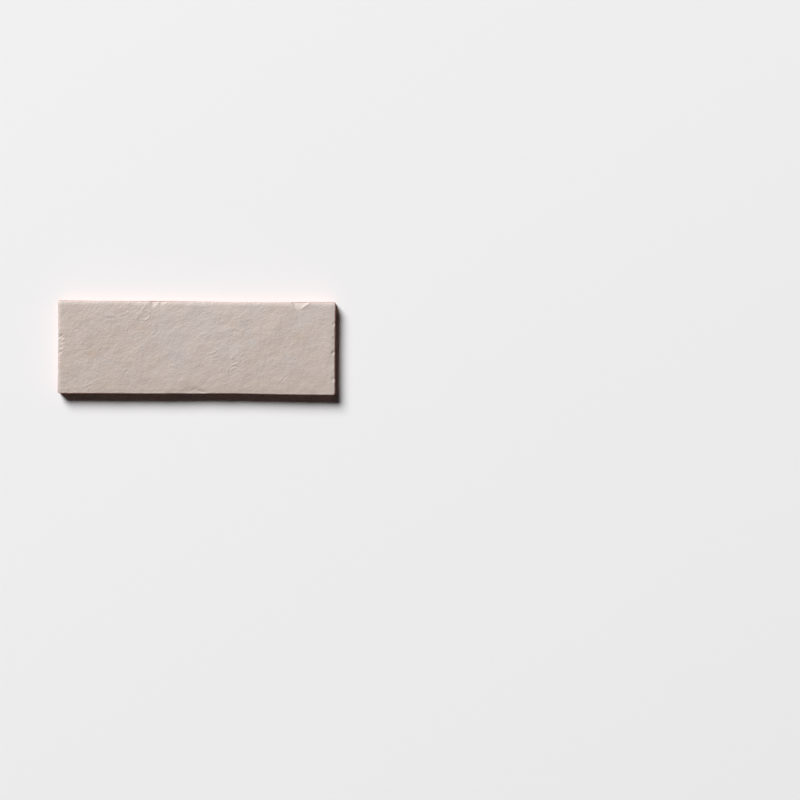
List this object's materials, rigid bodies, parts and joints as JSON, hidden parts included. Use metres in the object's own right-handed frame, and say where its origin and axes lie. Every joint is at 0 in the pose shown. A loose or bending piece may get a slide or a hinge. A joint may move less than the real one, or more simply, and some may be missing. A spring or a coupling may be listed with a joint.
{
  "type": "glazed terracotta tile",
  "caption": "Long pressed terracotta wall tile with a softly waving glazed face, a cushioned, nicked and bruised rim, and a flat back with shallow keying cells.",
  "frame": {"origin": "centre of the flat back, on the rib crossing between the four middle cells", "axes": "+X along the tile's length, +Y across its width, +Z out of the glazed face"},
  "size_m": [0.198, 0.0669, 0.0099],
  "materials": {
    "glazed_terracotta": "satin"
  },
  "bodies": {
    "root": {"tile": "glazed_terracotta"}
  },
  "joints": []
}
